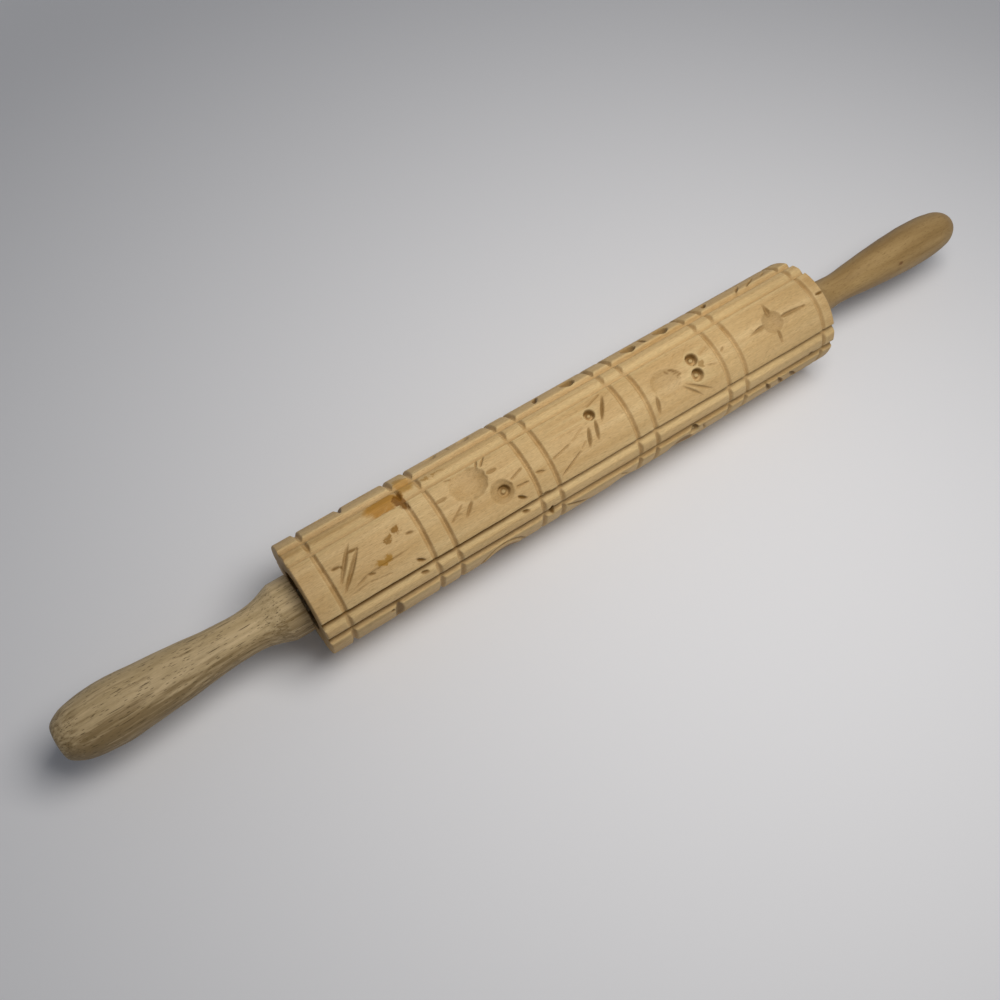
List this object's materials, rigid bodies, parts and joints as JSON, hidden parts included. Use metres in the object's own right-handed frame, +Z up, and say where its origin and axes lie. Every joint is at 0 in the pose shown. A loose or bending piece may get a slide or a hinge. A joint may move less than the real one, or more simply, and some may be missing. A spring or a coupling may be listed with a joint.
{
  "type": "embossed rolling pin",
  "caption": "Wooden rolling pin with a carved roller that turns on a rod between two turned handles, for pressing pictures into dough.",
  "frame": {"origin": "on the table, under the middle of the roller", "axes": "+X along the roller from the near, fatter handle to the far one, +Z up, +Y to the back, away from the side that the picture shows"},
  "size_m": [0.451, 0.0478, 0.0479],
  "materials": {
    "roller_beech": "pale beech, carved and sanded, dry satin, with fine flecks and a few orange stains",
    "handle_rubberwood": "grey-brown hardwood, turned, with open dark pores and long streaks, satin",
    "handle_beech": "yellow-brown hardwood, turned, smooth, satin",
    "dowel_wood": "plain dowel, sanded",
    "bush_nylon": "black moulded nylon, matte"
  },
  "bodies": {
    "roller": {"roller": "roller_beech", "bush_near": "bush_nylon", "bush_far": "bush_nylon"},
    "rod_and_handles": {"axle_rod": "dowel_wood", "handle_near": "handle_rubberwood", "handle_far": "handle_beech"}
  },
  "joints": [
    {"name": "handle_spin", "type": "hinge", "parent": "roller", "child": "rod_and_handles", "pos_m": [0, 0, 0.02395], "axis": [1, 0, 0], "continuous": true}
  ]
}
